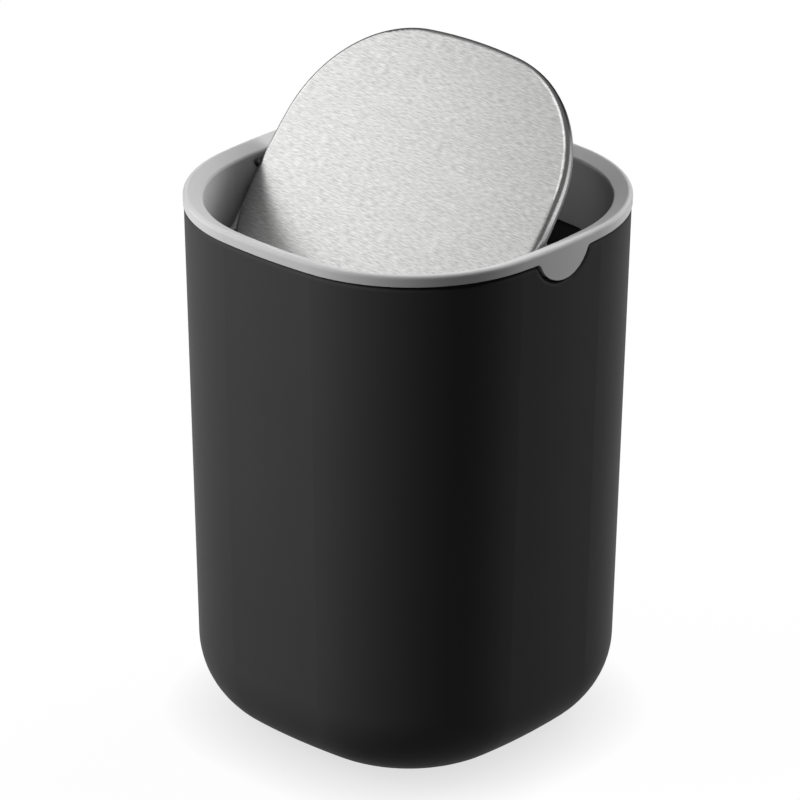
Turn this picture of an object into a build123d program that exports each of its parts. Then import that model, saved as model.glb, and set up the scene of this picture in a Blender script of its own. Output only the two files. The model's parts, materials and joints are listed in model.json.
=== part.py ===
from build123d import *
from math import atan2, cos, degrees, hypot, radians, sin, sqrt, tan
import os

# Countertop waste bin with a swing lid: a moulded bucket, a lift-off ring that sits on its rim, and a lid
# that swings on two pins in the ring. Millimetres, Z up, origin on the resting plane under the middle.
# The lid's axis runs along X, and the lid stands open by lid_tilt.

# Bin: a square plan with bowed sides, tapering towards the foot
bin_height = 222.45  # resting plane to the top of the ring
bin_half = 80.0  # centre to the middle of a side of the bucket, its taper carried up to bin_height
side_bow = 246.0  # radius of the sides in plan
corner_radius = 62.5
draft = 1.29  # degrees that the sides lean in towards the foot
foot_radius = 35.0

# Bucket
bucket_wall = 2.4
rim_round = 1.8  # outer edge of the rim and of its notches

# Foot pads
pad_radius = 6.0
pad_height = 1.6
pad_stand = 0.5  # what a pad stands proud of the base
pad_pitch = 50.0
pad_clearance = 0.15
pad_bevel = 0.4

# Ring
band_height = 4.4  # visible outer band
shadow_gap = 0.65  # reveal between the ring and the bucket's outer edge, round the tabs too
ring_proud = 0.3  # band and tabs beyond the bucket's taper
ring_width = 7.5  # that taper to the inside of the skirt
ring_slope = 22.0  # degrees that the top falls towards the mouth
ring_wall = 2.0
skirt_depth = 31.0
crest_round = 1.5
lip_round = 1.4
skirt_round = 0.7

# Half-round tabs of the ring, one at each end of the lid's axis, each with a pocket behind it
tab_radius = 14.4
tab_root_round = 2.2
pocket_wall = 2.4
pocket_corner = 1.0

# Ribs that centre the ring in the bucket
rib_thickness = 1.6
rib_depth = 10.0
rib_clearance = 0.3
side_rib_pitch = 56.0

# Lid: a pressed steel cover on a moulded carrier
lid_tilt = 50.8  # degrees open from shut
axis_drop = 7.5  # lid's axis below the top of the ring
lid_side_gap = 1.6  # lid to the mouth of the ring beside the pivots
lid_end_gap = 3.9  # and in front of them and behind them, where it swings past the ring
lid_bow = 226.0
lid_corner = 53.0
lid_face = 8.1  # lid's face above its axis
steel = 0.6
cover_depth = 3.5  # drop of the turned-down edge
cover_round = 2.0
flange_gap = 0.4  # open joint between the cover's edge and the carrier's flange
flange_thickness = 1.6
flange_inset = 0.4
flange_round = 0.4
plug_clearance = 0.15  # carrier inside the cover
plate_thickness = 1.6
stiffener = 1.4
stiffener_pitch = 23.0
stiffener_rows = 5

# Pivots
pin_radius = 2.5
pin_length = 25.0
pin_chamfer = 0.4
pin_end_float = 0.3
bore_clearance = 0.08
bore_skin = 1.2  # left outside the blind end of a bearing bore
bearing_radius = 5.0
bearing_reach = 2.8  # bearing boss inside its pocket
lug_radius = 4.6
lug_length = 16.5
lug_setback = 3.2  # end of a lug behind the lid's edge

# Counterweight, screwed up into a cradle under the carrier
weight_length = 88.0
weight_width = 19.4
weight_thickness = 9.0
weight_drop = 4.0  # its top face below the axis
weight_clearance = 0.3
weight_chamfer = 0.8
cradle_wall = 1.8
cradle_grip = 4.0  # how far the cradle laps the sides of the weight
screw_radius = 1.5
screw_pitch = 56.0
screw_bite = 6.0
screw_clearance = 0.2
screw_head_radius = 3.0
screw_head_height = 2.0
screw_head_bevel = 0.6
screw_boss_radius = 3.6

# Worked out from the sizes above
rim_z = bin_height - band_height - shadow_gap
axis_z = bin_height - axis_drop
mouth_half = bin_half - ring_width
skirt_half = mouth_half + ring_wall
overlap = 0.3  # how far a rib or a web runs into the wall that it joins
lid_half_x = mouth_half - lid_side_gap
lid_half_y = mouth_half - lid_end_gap
lid_normal = Vector(0, 0, 1).rotate(Axis.X, lid_tilt)
lid_plane = Plane((0, 0, axis_z), x_dir=(1, 0, 0), z_dir=lid_normal)
swing_plane = Plane((0, 0, axis_z), x_dir=lid_plane.y_dir, z_dir=(1, 0, 0))
cover_bottom = lid_face - cover_depth
flange_top = cover_bottom - flange_gap
carrier_bottom = flange_top - flange_thickness
weight_bottom = -weight_drop - weight_thickness


def outer_half(z):
    """Centre to the middle of a side, at height z."""
    return bin_half - (bin_height - z) * tan(radians(draft))


def trace_plan(half_x, half_y, bow, corner):
    """Draw a bowed square in the open BuildLine, anticlockwise from the middle of its +X side."""
    side_x = half_x - bow
    side_y = half_y - bow
    apart = hypot(side_x, side_y)
    rise = sqrt((bow - corner) ** 2 - (apart / 2) ** 2)
    corner_x = side_x / 2 - side_y / apart * rise
    corner_y = side_y / 2 - side_x / apart * rise
    first = degrees(atan2(corner_y, corner_x - side_x))
    second = degrees(atan2(corner_y - side_y, corner_x))
    arcs = [
        ((side_x, 0), bow, first),
        ((corner_x, corner_y), corner, second),
        ((0, side_y), bow, 180 - second),
        ((-corner_x, corner_y), corner, 180 - first),
        ((-side_x, 0), bow, 180 + first),
        ((-corner_x, -corner_y), corner, 180 + second),
        ((0, -side_y), bow, 360 - second),
        ((corner_x, -corner_y), corner, 360 - first),
        ((side_x, 0), bow, 360),
    ]
    start = 0
    for centre, radius, end in arcs:
        CenterArc(centre, radius, start, end - start)
        start = end


class BowedSquare(BaseSketchObject):
    """Square with bowed sides and round corners, its outline set in by inset."""

    def __init__(self, half_x, half_y, bow, corner, inset=0.0, mode=Mode.ADD):
        with BuildSketch() as plan:
            with BuildLine():
                trace_plan(half_x - inset, half_y - inset, bow - inset, corner - inset)
            make_face()
        super().__init__(obj=plan.sketch, rotation=0, align=None, mode=mode)


class TabShape(BaseSketchObject):
    """Face of a tab and the strip of band above it, with rounded roots, grown all round by gap."""

    def __init__(self, gap=0.0, mode=Mode.ADD):
        band_bottom = bin_height - band_height
        with BuildSketch() as shape:
            with Locations((0, bin_height)):
                Circle(tab_radius)
            with Locations((0, band_bottom)):
                Rectangle(4 * tab_radius, 2 * tab_radius, align=(Align.CENTER, Align.MIN))
            on_band = shape.vertices().filter_by(lambda v: abs(v.Y - band_bottom) < 0.01)
            fillet(on_band.filter_by(lambda v: abs(v.X) < tab_radius), tab_root_round)
            if gap:
                offset(amount=gap)
        super().__init__(obj=shape.sketch, rotation=0, align=None, mode=mode)


def drafted_form(inset, foot_z, foot_round):
    """Solid under the bin's plan set in by inset, from foot_z to the top of the ring."""
    with BuildPart() as form:
        with BuildSketch(Plane.XY.offset(bin_height)):
            BowedSquare(bin_half, bin_half, side_bow, corner_radius, inset)
        extrude(amount=foot_z - bin_height, taper=draft)
        fillet(form.faces().sort_by(Axis.Z)[0].edges(), foot_round)
    return form.part


def pressed_form(inset, bottom):
    """Solid under the lid's face, its sides, face and rounded edge set in by inset, down to bottom."""
    with BuildPart() as form:
        with BuildSketch(lid_plane.offset(bottom)):
            BowedSquare(lid_half_x, lid_half_y, lid_bow, lid_corner, inset)
        extrude(amount=lid_face - inset - bottom)
        fillet(form.faces().sort_by(Axis((0, 0, 0), lid_normal))[-1].edges(), cover_round - inset)
    return form.part


outer_form = drafted_form(0, pad_stand, foot_radius)
inner_form = drafted_form(bucket_wall, pad_stand + bucket_wall, foot_radius - bucket_wall)

# Bucket: notched for the tabs and rounded along the rim before it is hollowed
with BuildPart() as bucket:
    add(outer_form)
    split(bisect_by=Plane.XY.offset(rim_z), keep=Keep.BOTTOM)
    with BuildSketch(Plane.YZ):
        TabShape(shadow_gap)
    extrude(amount=bin_half, both=True, mode=Mode.SUBTRACT)
    rim = bucket.edges().filter_by(lambda e: e.center().Z > bin_height - 2 * tab_radius)
    fillet(rim.filter_by(Axis.X, reverse=True), rim_round)
    add(inner_form, mode=Mode.SUBTRACT)
    with BuildSketch(Plane.XY.offset(pad_stand)):
        with GridLocations(pad_pitch, pad_pitch, 2, 2):
            Circle(pad_radius + pad_clearance)
    extrude(amount=pad_height - pad_stand, mode=Mode.SUBTRACT)
bucket.part.label = "bucket"

# Path that the ring's sections follow
with BuildLine(Plane.XY.offset(bin_height)) as rim_path:
    trace_plan(bin_half, bin_half, side_bow, corner_radius)

# One tab on the +X side: a face flush with the band, a pocket behind it and a boss for the pin
bore_end = outer_half(axis_z) - bore_skin
boss_start = outer_half(axis_z) - bucket_wall - bearing_reach
with BuildPart() as tab:
    with BuildSketch(Plane.YZ):
        TabShape()
    extrude(amount=bin_half + ring_proud)
    add(drafted_form(-ring_proud, pad_stand, foot_radius), mode=Mode.INTERSECT)
    split(bisect_by=Plane.XY.offset(bin_height - band_height), keep=Keep.BOTTOM)
    with BuildSketch(Plane.XY):
        BowedSquare(bin_half, bin_half, side_bow, corner_radius, ring_width - overlap)
    extrude(amount=bin_height, mode=Mode.SUBTRACT)
with BuildPart() as pocket:
    with BuildSketch(Plane.YZ) as pocket_shape:
        with Locations((0, bin_height)):
            Circle(tab_radius - pocket_wall)
        with Locations((0, rim_z)):
            Rectangle(2 * tab_radius, 2 * tab_radius, align=(Align.CENTER, Align.MIN), mode=Mode.SUBTRACT)
        fillet(pocket_shape.vertices(), pocket_corner)
    extrude(amount=bin_half)
    add(inner_form, mode=Mode.INTERSECT)
with BuildPart() as bearing:
    with BuildSketch(Plane.YZ.offset(boss_start)):
        with Locations((0, axis_z)):
            Circle(bearing_radius)
    extrude(amount=bearing_reach + overlap)

# Ribs between the skirt and the bucket, cut from one band that follows the rim
with BuildPart() as ribs:
    with BuildSketch(Plane.XZ):
        with BuildLine():
            Polyline(
                (skirt_half - overlap, rim_z + overlap),
                (outer_half(rim_z) - bucket_wall - rib_clearance, rim_z + overlap),
                (outer_half(rim_z - rib_depth) - bucket_wall - rib_clearance, rim_z - rib_depth),
                (skirt_half - overlap, rim_z - rib_depth),
                close=True,
            )
        make_face()
    sweep(path=rim_path.wire())
    with BuildSketch(Plane.XY.offset(rim_z + overlap)) as slats:
        with Locations((0, side_rib_pitch / 2), (0, -side_rib_pitch / 2)):
            Rectangle(3 * bin_half, rib_thickness)
        with Locations((side_rib_pitch / 2, 0), (-side_rib_pitch / 2, 0)):
            Rectangle(rib_thickness, 3 * bin_half)
        with Locations(Location((0, 0), 45), Location((0, 0), -45)):
            Rectangle(3 * bin_half, rib_thickness)
    extrude(amount=-rib_depth - overlap, mode=Mode.INTERSECT)

# Ring: band, dished flange and skirt in one section, with the ribs and the two tabs
slope = radians(ring_slope)
edge_z = bin_height - crest_round + crest_round * (1 + sin(slope)) / cos(slope)
lip_z = edge_z - (ring_width + ring_proud) * tan(slope)
seat_x = outer_half(rim_z) - rim_round
with BuildPart() as lid_ring:
    with BuildSketch(Plane.XZ) as section:
        with BuildLine():
            Polyline(
                (outer_half(bin_height - band_height) + ring_proud, bin_height - band_height),
                (bin_half + ring_proud, edge_z),
                (mouth_half, lip_z),
                (mouth_half, bin_height - skirt_depth),
                (skirt_half, bin_height - skirt_depth),
                (skirt_half, rim_z),
                (seat_x, rim_z),
                (seat_x, bin_height - band_height),
                close=True,
            )
        make_face()
        fillet(section.vertices().sort_by_distance((bin_half + ring_proud, edge_z))[0], crest_round)
        fillet(section.vertices().sort_by_distance((mouth_half, lip_z))[0], lip_round)
        fillet(section.vertices().group_by(Axis.Y)[0], skirt_round)
    sweep(path=rim_path.wire())
    add(ribs.part)
    with PolarLocations(0, 2):
        add(tab.part)
        add(pocket.part, mode=Mode.SUBTRACT)
        add(bearing.part)
    with BuildSketch(Plane.YZ):
        with Locations((0, axis_z)):
            Circle(pin_radius + bore_clearance)
    extrude(amount=bore_end, both=True, mode=Mode.SUBTRACT)
lid_ring.part.label = "lid_ring"

# Cover: the flat face and its turned-down edge in one skin
with BuildPart() as lid_cover:
    add(pressed_form(0, cover_bottom))
    add(pressed_form(steel, cover_bottom - steel), mode=Mode.SUBTRACT)
lid_cover.part.label = "lid_cover"

# Carrier: a flanged plate that plugs into the cover, stiffened above, with lugs and a cradle below
plug_inset = steel + plug_clearance
plate_top = carrier_bottom + plate_thickness
lug_end = lid_half_x - lug_setback
pin_tip = bore_end - pin_end_float
cradle_length = weight_length + 2 * weight_clearance
cradle_width = weight_width + 2 * weight_clearance
with BuildPart() as lid_carrier:
    with BuildSketch(lid_plane.offset(carrier_bottom)):
        BowedSquare(lid_half_x, lid_half_y, lid_bow, lid_corner, flange_inset)
    extrude(amount=flange_thickness)
    fillet(lid_carrier.edges().group_by(Axis((0, 0, 0), lid_normal))[0], flange_round)
    add(pressed_form(plug_inset, flange_top))
    with BuildSketch(lid_plane.offset(plate_top)):
        BowedSquare(lid_half_x, lid_half_y, lid_bow, lid_corner, plug_inset + stiffener)
        with GridLocations(stiffener_pitch, 0, stiffener_rows, 1):
            Rectangle(stiffener, 3 * lid_half_y, mode=Mode.SUBTRACT)
        with GridLocations(0, stiffener_pitch, 1, stiffener_rows):
            Rectangle(3 * lid_half_x, stiffener, mode=Mode.SUBTRACT)
    extrude(amount=lid_face, mode=Mode.SUBTRACT)
    # cradle round the weight, and ribs that tie it to the lugs
    with BuildSketch(lid_plane.offset(-weight_drop - cradle_grip)):
        Rectangle(cradle_length + 2 * cradle_wall, cradle_width + 2 * cradle_wall)
        Rectangle(cradle_length, cradle_width, mode=Mode.SUBTRACT)
    extrude(amount=weight_drop + cradle_grip + carrier_bottom + overlap)
    with BuildSketch(lid_plane):
        with GridLocations(0, 2 * lug_radius - cradle_wall, 1, 2):
            Rectangle(2 * (lug_end - lug_length) + 2 * overlap, cradle_wall)
    extrude(amount=carrier_bottom + overlap)
    with BuildSketch(lid_plane.offset(-weight_drop)):
        with GridLocations(screw_pitch, 0, 2, 1):
            Circle(screw_boss_radius)
    extrude(amount=weight_drop + carrier_bottom + overlap)
    with BuildSketch(lid_plane.offset(-weight_drop)):
        with GridLocations(screw_pitch, 0, 2, 1):
            Circle(screw_radius)
    extrude(amount=screw_bite, mode=Mode.SUBTRACT)
    with BuildSketch(swing_plane.offset(lug_end - lug_length), swing_plane.offset(-lug_end)):
        Circle(lug_radius)
        Rectangle(2 * lug_radius, carrier_bottom + overlap, align=(Align.CENTER, Align.MIN))
    extrude(amount=lug_length)
    with BuildSketch(swing_plane.offset(pin_tip - pin_length), swing_plane.offset(-pin_tip)):
        Circle(pin_radius)
    extrude(amount=pin_length, mode=Mode.SUBTRACT)
lid_carrier.part.label = "lid_carrier"

# Pivot pins, pressed into the lugs and running in the ring's bearing bores
with BuildPart() as pivot_pin_right:
    with BuildSketch(swing_plane.offset(pin_tip - pin_length)):
        Circle(pin_radius)
    extrude(amount=pin_length)
    chamfer(pivot_pin_right.edges(), pin_chamfer)
pivot_pin_right.part.label = "pivot_pin_right"
with BuildPart() as pivot_pin_left:
    mirror(pivot_pin_right.part, about=Plane.YZ)
pivot_pin_left.part.label = "pivot_pin_left"

# Counterweight: a steel bar with a recess under it for each screw head
weight_underside = Plane(lid_plane.offset(weight_bottom).origin, x_dir=(1, 0, 0), z_dir=-lid_normal)
with BuildPart() as counterweight:
    with BuildSketch(weight_underside):
        Rectangle(weight_length, weight_width)
    extrude(amount=-weight_thickness)
    chamfer(counterweight.edges(), weight_chamfer)
    with Locations(weight_underside):
        with GridLocations(screw_pitch, 0, 2, 1):
            CounterBoreHole(
                radius=screw_radius + screw_clearance,
                counter_bore_radius=screw_head_radius + screw_clearance,
                counter_bore_depth=screw_head_height,
            )
counterweight.part.label = "counterweight"

with BuildPart() as counterweight_screws:
    with BuildSketch(weight_underside):
        with GridLocations(screw_pitch, 0, 2, 1):
            Circle(screw_head_radius)
    extrude(amount=-screw_head_height)
    chamfer(counterweight_screws.edges().group_by(Axis((0, 0, 0), lid_normal))[0], screw_head_bevel)
    with BuildSketch(weight_underside):
        with GridLocations(screw_pitch, 0, 2, 1):
            Circle(screw_radius)
    extrude(amount=-weight_thickness - screw_bite)
counterweight_screws.part.label = "counterweight_screws"

pieces = [
    bucket.part,
    lid_ring.part,
    lid_cover.part,
    lid_carrier.part,
    pivot_pin_right.part,
    pivot_pin_left.part,
    counterweight.part,
    counterweight_screws.part,
]

# Foot pads, set in the base
pad_corners = {
    "foot_pad_front_left": (-1, -1),
    "foot_pad_front_right": (1, -1),
    "foot_pad_rear_left": (-1, 1),
    "foot_pad_rear_right": (1, 1),
}
for pad_name, (side_x, side_y) in pad_corners.items():
    with BuildPart() as foot_pad:
        with BuildSketch(Plane((side_x * pad_pitch / 2, side_y * pad_pitch / 2, 0))):
            Circle(pad_radius)
        extrude(amount=pad_height)
        chamfer(foot_pad.edges().sort_by(Axis.Z)[0], pad_bevel)
    foot_pad.part.label = pad_name
    pieces.append(foot_pad.part)

os.makedirs("parts", exist_ok=True)
for piece in pieces:
    export_step(piece, f"parts/{piece.label}.step")
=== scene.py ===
import json
from math import cos, radians, sin

import bmesh
import bpy
from mathutils import Matrix, Vector


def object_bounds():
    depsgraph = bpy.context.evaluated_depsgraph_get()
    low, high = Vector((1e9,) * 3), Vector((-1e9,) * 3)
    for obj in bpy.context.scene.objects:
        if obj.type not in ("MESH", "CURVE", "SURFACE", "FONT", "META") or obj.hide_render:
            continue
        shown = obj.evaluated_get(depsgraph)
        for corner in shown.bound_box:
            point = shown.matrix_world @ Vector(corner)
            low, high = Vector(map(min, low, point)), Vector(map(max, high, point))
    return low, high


# Lengths are in metres, angles in degrees and lamps in watts
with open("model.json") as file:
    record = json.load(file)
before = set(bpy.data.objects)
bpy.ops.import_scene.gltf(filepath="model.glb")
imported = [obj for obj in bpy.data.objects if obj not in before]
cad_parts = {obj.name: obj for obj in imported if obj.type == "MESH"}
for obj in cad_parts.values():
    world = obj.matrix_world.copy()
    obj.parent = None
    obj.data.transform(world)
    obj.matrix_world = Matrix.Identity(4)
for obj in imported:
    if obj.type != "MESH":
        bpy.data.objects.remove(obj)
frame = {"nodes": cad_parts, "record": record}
cadLow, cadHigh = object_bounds()
nodes = frame["nodes"]
scene = bpy.context.scene
print("frame loaded:", len(nodes), "nodes")


class Wire:  # a socket of a finish; arithmetic on it adds Math nodes
    def __init__(self, finish, socket):
        self.finish = finish
        self.socket = socket

    def beside(self, output):  # another output of the same node
        return Wire(self.finish, self.socket.node.outputs[output])

    def maths(self, operation, *values):
        return self.finish.node("Math", {"operation": operation}, dict(enumerate(values)))

    def __add__(self, other):
        return self.maths("ADD", self, other)

    def __mul__(self, other):
        return self.maths("MULTIPLY", self, other)

    def __sub__(self, other):
        return self.maths("SUBTRACT", self, other)

    def __rsub__(self, other):
        return self.maths("SUBTRACT", other, self)

    __radd__ = __add__
    __rmul__ = __mul__


class Finish:  # the nodes of one material or of the room, which begin as a shader and its output
    def __init__(self, owner, fixed=None):
        owner.use_nodes = True
        self.owner = owner
        self.tree = owner.node_tree
        self.shader = next(node for node in self.tree.nodes if node.outputs)
        self.feed(self.shader, fixed or {})

    def feed(self, target, inputs):
        for key, value in inputs.items():
            if isinstance(value, Wire):
                self.tree.links.new(value.socket, target.inputs[key])
            else:
                target.inputs[key].default_value = value

    def node(self, kind, settings=None, inputs=None, output=0):
        made = self.tree.nodes.new("ShaderNode" + kind)
        for key, value in (settings or {}).items():
            setattr(made, key, value)
        self.feed(made, inputs or {})
        return Wire(self, made.outputs[output])

    def place(self, turn=(0, 0, 0), scale=(1, 1, 1)):
        here = self.node("TexCoord", output="Object")
        return self.node("Mapping", inputs={"Vector": here, "Rotation": turn, "Scale": scale})

    def grain(self, place, size, detail=2.0):  # noise about zero, with lumps of this size
        inputs = {"Vector": place, "Scale": 1 / size, "Detail": detail}
        return self.node("TexNoise", inputs=inputs) - 0.5

    def tint(self, grain, colour, spread):  # the colour, darker and lighter by the spread
        low = [tone * (1 - spread) for tone in colour]
        high = [tone * (1 + spread) for tone in colour]
        inputs = {"Factor": grain + 0.5, "A": (*low, 1), "B": (*high, 1)}
        return self.node("Mix", {"data_type": "RGBA"}, inputs, output="Result")

    def bump(self, height, depth):
        return self.node("Bump", inputs={"Height": height, "Distance": depth})


def newFinish(name, fixed=None):
    return Finish(bpy.data.materials.new(name), fixed)


def grey(level):
    return (level, level, level, 1)


# Moulded plastics: a fine spark-eroded texture, and a slow drift in tone
def mouldedPlastic(name, look):
    finish = newFinish(name, {"Specular IOR Level": look["shine"]})
    place = finish.place()
    texture = finish.grain(place, look["textureSize"], detail=3.0)
    drift = finish.grain(place, look["driftSize"])
    finish.feed(finish.shader, {
        "Base Color": finish.tint(drift, look["colour"], look["drift"]),
        "Roughness": look["roughness"] + texture * look["roughnessSpread"],
        "Normal": finish.bump(texture, look["textureDepth"]),
    })
    return finish.owner


bucketLook = {
    "colour": (0.050, 0.050, 0.051),
    "shine": 0.02,
    "roughness": 0.5,
    "roughnessSpread": 0.1,
    "textureSize": 0.0006,
    "textureDepth": 0.00002,
    "drift": 0.04,
    "driftSize": 0.03,
}
ringLook = {
    "colour": (0.50, 0.50, 0.50),
    "shine": 0.4,
    "roughness": 0.34,
    "roughnessSpread": 0.08,
    "textureSize": 0.0005,
    "textureDepth": 0.000012,
    "drift": 0.015,
    "driftSize": 0.03,
}
carrierLook = {
    "colour": (0.22, 0.22, 0.225),
    "shine": 0.4,
    "roughness": 0.45,
    "roughnessSpread": 0.08,
    "textureSize": 0.0005,
    "textureDepth": 0.000012,
    "drift": 0.02,
    "driftSize": 0.03,
}
padLook = {
    "colour": (0.02, 0.02, 0.02),
    "shine": 0.3,
    "roughness": 0.75,
    "roughnessSpread": 0.1,
    "textureSize": 0.0008,
    "textureDepth": 0.00004,
    "drift": 0.1,
    "driftSize": 0.004,
}

# Brushed steel: fine strokes drawn out along the hinge, over broader and fainter streaks
coverLook = {
    "colour": (0.62, 0.62, 0.615),
    "roughness": 0.30,
    "roughnessSpread": 0.06,
    "tilt": 50.8,  # the lid stands open by this
    "strokeLength": 0.0034,
    "strokeWidth": 0.00032,
    "strokeDepth": 0.000008,
    "streakWidth": 0.00128,
    "streakShare": 0.1,
    "toneSpread": 0.20,
    "contrast": 3.4,
}


def brushedSteel(name, look):
    finish = newFinish(name, {"Metallic": 1.0})
    stretch = look["strokeWidth"] / look["strokeLength"]
    place = finish.place(turn=(radians(-look["tilt"]), 0, 0), scale=(stretch, 1, 1))
    stroke = finish.grain(place, look["strokeWidth"])
    streak = finish.grain(place, look["streakWidth"])
    mark = (1 - look["streakShare"]) * stroke + look["streakShare"] * streak
    finish.feed(finish.shader, {
        "Base Color": finish.tint(mark * look["contrast"], look["colour"], look["toneSpread"]),
        "Roughness": look["roughness"] - mark * look["roughnessSpread"],
        "Normal": finish.bump(stroke, look["strokeDepth"]),
    })
    return finish.owner


# Ground steel: a plain fine grain with no direction, on the small parts
groundLook = {
    "pin": {"colour": (0.50, 0.50, 0.50), "roughness": 0.3},
    "weight": {"colour": (0.36, 0.36, 0.37), "roughness": 0.45},
    "screw": {"colour": (0.58, 0.58, 0.56), "roughness": 0.35},
    "roughnessSpread": 0.2,
    "grainSize": 0.0004,
    "grainDepth": 0.00001,
    "toneSpread": 0.12,
}


def groundSteel(name, look):
    finish = newFinish(name, {"Metallic": 1.0})
    grain = finish.grain(finish.place(), groundLook["grainSize"], detail=3.0)
    finish.feed(finish.shader, {
        "Base Color": finish.tint(grain, look["colour"], groundLook["toneSpread"]),
        "Roughness": look["roughness"] + grain * groundLook["roughnessSpread"],
        "Normal": finish.bump(grain, groundLook["grainDepth"]),
    })
    return finish.owner


finishes = {
    "bucket_plastic": mouldedPlastic("bucket plastic", bucketLook),
    "ring_plastic": mouldedPlastic("ring plastic", ringLook),
    "carrier_plastic": mouldedPlastic("carrier plastic", carrierLook),
    "pad_rubber": mouldedPlastic("pad rubber", padLook),
    "cover_steel": brushedSteel("cover steel", coverLook),
    "pin_steel": groundSteel("pin steel", groundLook["pin"]),
    "weight_steel": groundSteel("weight steel", groundLook["weight"]),
    "screw_steel": groundSteel("screw steel", groundLook["screw"]),
}
for part in frame["record"]["subparts"]:
    node = nodes[part["node"]]
    node.data.materials.clear()
    node.data.materials.append(finishes[part["material_slot"]])
print("finishes made:", len(finishes))


# Azimuth 0 is towards +X and 90 towards +Y, seen from above
def direction(azimuth, elevation):
    turn, lift = radians(azimuth), radians(elevation)
    return Vector((cos(lift) * cos(turn), cos(lift) * sin(turn), sin(lift)))


def makeSheet(finish, matrix):  # a square of one metre, laid by the matrix
    name = finish.owner.name
    mesh = bpy.data.meshes.new(name)
    form = bmesh.new()
    bmesh.ops.create_grid(form, x_segments=1, y_segments=1, size=0.5, matrix=matrix)
    form.to_mesh(mesh)
    form.free()
    mesh.materials.append(finish.owner)
    sheet = bpy.data.objects.new(name, mesh)
    scene.collection.objects.link(sheet)
    return sheet


# Floor: it shows white to the camera, in gloss and through glass, and throws little light back;
# where the bin stands its soft shadow is mostly painted shade, the glow darkened by ambient
# occlusion, with a little cast shadow
floorLook = {
    "size": 28.0,
    "bounce": 0.15,
    "paintedShadowReach": 0.026,
    "paintedShadowDepth": 0.28,
    "paintedShadowSamples": 16,
    "cast": 0.8,
    "castShare": 0.04,
}


def makeFloor():
    look = floorLook
    finish = newFinish("floor")
    samples, reach = {"samples": look["paintedShadowSamples"]}, {"Distance": look["paintedShadowReach"]}
    openness = finish.node("AmbientOcclusion", samples, reach, output="AO")
    # painted shade: the white glow is darkened by ambient occlusion near the bin, not by the
    # lamps
    glow = 1 - (1 - openness) * look["paintedShadowDepth"]
    white = finish.node("Emission", inputs={"Strength": glow})
    cast = finish.node("BsdfDiffuse", inputs={"Color": grey(look["cast"])})
    shown = finish.node("MixShader", inputs={"Fac": look["castShare"], 1: white, 2: cast})
    plain = finish.node("BsdfDiffuse", inputs={"Color": grey(look["bounce"])})
    ray = finish.node("LightPath", output="Is Camera Ray")
    seen = ray + ray.beside("Is Glossy Ray") + ray.beside("Is Transmission Ray")
    mixed = finish.node("MixShader", inputs={"Fac": seen, 1: plain, 2: shown})
    finish.feed(finish.tree.nodes["Material Output"], {"Surface": mixed})
    finish.tree.nodes.remove(finish.shader)
    makeSheet(finish, Matrix.Diagonal((look["size"], look["size"], 1, 1)))


makeFloor()
print("floor made")

# Black card behind the bin, seen only in gloss: it draws a dark line round the steel
cardLook = {
    "azimuth": 132,
    "distance": 0.5,
    "width": 1.1,
    "height": 0.5,
}


def makeCard():
    look = cardLook
    sized = Matrix.Diagonal((look["width"], look["height"], 1, 1))
    upright = Matrix.Rotation(radians(90), 4, "X")
    stood = Matrix.Translation((0, look["distance"], look["height"] / 2))
    turned = Matrix.Rotation(radians(look["azimuth"] - 90), 4, "Z")
    black = newFinish("card", {"Base Color": grey(0), "Specular IOR Level": 0.0})
    card = makeSheet(black, turned @ stood @ upright @ sized)
    card.visible_camera = False
    card.visible_diffuse = False
    card.visible_shadow = False


makeCard()
print("card made")

# Lamps stand round the bin: some light only what is matt, and the others show only in gloss
lamps = {
    "key": {
        "azimuth": -120, "elevation": 35, "distance": 1.2,
        "width": 0.5, "height": 0.5, "watts": 11, "gloss": False,
    },
    "low": {
        "azimuth": -150, "elevation": 20, "distance": 1.2,
        "width": 0.5, "height": 0.5, "watts": 7, "gloss": False,
    },
    "side": {
        "azimuth": 62, "elevation": 35, "distance": 1.6,
        "width": 0.5, "height": 0.5, "watts": 17.5, "gloss": False,
    },
    "rear": {
        "azimuth": 92, "elevation": 41, "distance": 1.6,
        "width": 0.5, "height": 0.5, "watts": 18, "gloss": False,
    },
    "panel": {
        "azimuth": -157, "elevation": 26, "distance": 0.8,
        "width": 0.6, "height": 0.62, "watts": 1.62, "gloss": True,
    },
    "crown": {
        "azimuth": -120, "elevation": 72, "distance": 1.2,
        "width": 0.8, "height": 0.8, "watts": 3, "gloss": True,
    },
}


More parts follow.
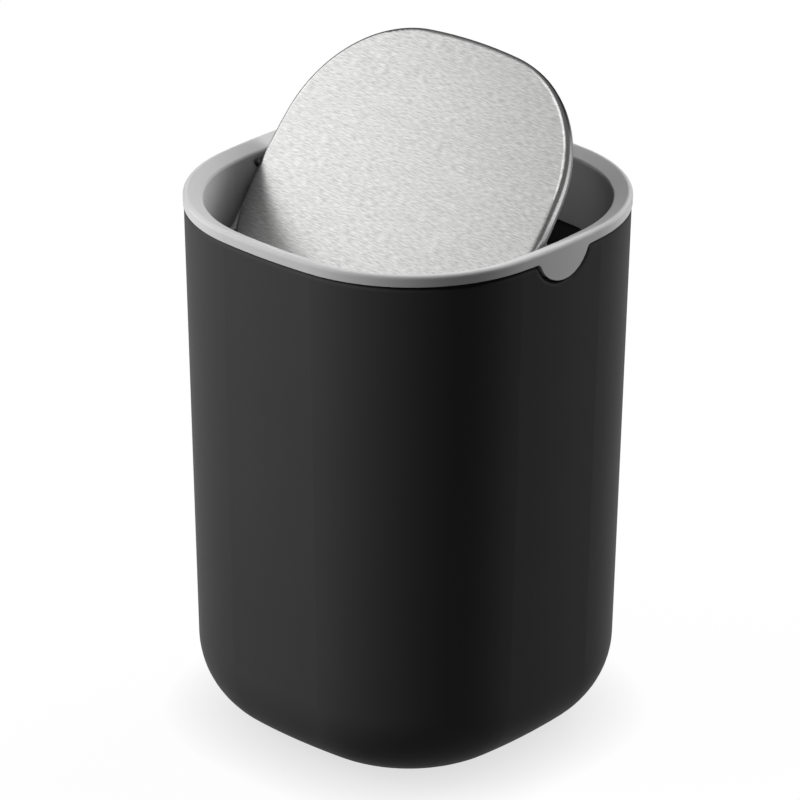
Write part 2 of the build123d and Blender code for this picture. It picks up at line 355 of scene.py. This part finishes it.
def makeLamp(name, lamp):
    light = bpy.data.lights.new(name, "AREA")
    light.shape = "RECTANGLE"
    light.size = lamp["width"]
    light.size_y = lamp["height"]
    light.energy = lamp["watts"]
    holder = bpy.data.objects.new(name, light)
    towards = direction(lamp["azimuth"], lamp["elevation"])
    holder.location = Vector((0, 0, cadHigh.z / 2)) + towards * lamp["distance"]
    holder.rotation_euler = towards.to_track_quat("Z", "Y").to_euler()
    holder.visible_diffuse = not lamp["gloss"]
    holder.visible_glossy = lamp["gloss"]
    scene.collection.objects.link(holder)


for name, lamp in lamps.items():
    makeLamp(name, lamp)
print("lamps made:", len(lamps))

# Room: white to the camera, dim in gloss, and almost no light of its own
roomLook = {
    "seen": 1.0,
    "inGloss": 0.14,
    "fill": 0.02,
}


def makeRoom():
    look = roomLook
    finish = Finish(bpy.data.worlds.new("room"), {"Color": grey(1)})
    ray = finish.node("LightPath", output="Is Camera Ray")
    glow = ray * look["seen"] + ray.beside("Is Glossy Ray") * look["inGloss"] + look["fill"]
    finish.feed(finish.shader, {"Strength": glow})
    scene.world = finish.owner


makeRoom()
scene.view_settings.view_transform = "Standard"
print("room made")

# Camera: it aims at a point above the bin's middle, moved aside along the camera's own right
cameraLook = {
    "azimuth": -47.565,
    "elevation": 24.295,
    "distance": 2.2845,
    "aimHeight": 0.133383,
    "aside": -0.002695,
    "lens": 263.693,
    "roll": 0.256,
}


def setCamera():
    look = cameraLook
    roll = radians(look["roll"])
    back = direction(look["azimuth"], look["elevation"])
    right = direction(look["azimuth"] + 90, 0)
    up = back.cross(right)
    across = cos(roll) * right + sin(roll) * up
    upwards = cos(roll) * up - sin(roll) * right
    eye = Vector((0, 0, look["aimHeight"])) + look["aside"] * right + look["distance"] * back
    data = bpy.data.cameras.new("camera")
    data.lens = look["lens"]
    holder = bpy.data.objects.new("camera", data)
    axes = Matrix((across, upwards, back)).transposed().to_4x4()
    holder.matrix_world = Matrix.Translation(eye) @ axes
    scene.collection.objects.link(holder)
    scene.camera = holder


setCamera()
print("camera set")
